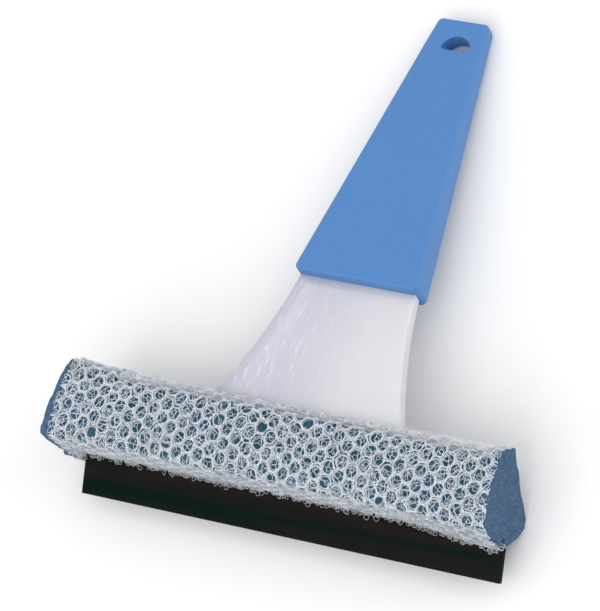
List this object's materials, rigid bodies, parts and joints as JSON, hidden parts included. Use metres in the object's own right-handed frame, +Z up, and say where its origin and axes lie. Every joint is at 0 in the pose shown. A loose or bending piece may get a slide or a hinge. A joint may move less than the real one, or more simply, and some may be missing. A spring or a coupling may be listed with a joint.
{
  "type": "window squeegee",
  "caption": "Hand squeegee for window cleaning: rubber blade, mesh-covered foam scrubber, clear flared neck and a tapered grip sleeve with an arched hanging hole.",
  "frame": {"origin": "on the floor under the middle of the object as it lies on its back", "axes": "+X along the blade to the right, +Y from the blade towards the handle's tip, +Z up"},
  "size_m": [0.2118, 0.2394, 0.0451],
  "materials": {
    "sleeve": "satin, finely textured",
    "clear_plastic": "clear, faintly tinted, polished",
    "foam": "open-cell foam",
    "netting": "knitted plastic filament",
    "rubber": "smooth satin"
  },
  "bodies": {
    "head_and_handle": {"grip_sleeve": "sleeve", "head_frame": "clear_plastic", "sponge": "foam", "scrub_mesh": "netting", "blade_root": "rubber"},
    "flexing_lip": {"blade_lip": "rubber"}
  },
  "joints": [
    {"name": "lip_flex", "type": "hinge", "parent": "head_and_handle", "child": "flexing_lip", "pos_m": [0.00585, -0.10597, 0.01647], "axis": [1, 0, 0], "range_deg": [-30, 30], "stiffness_Nm_per_rad": 0.12}
  ]
}
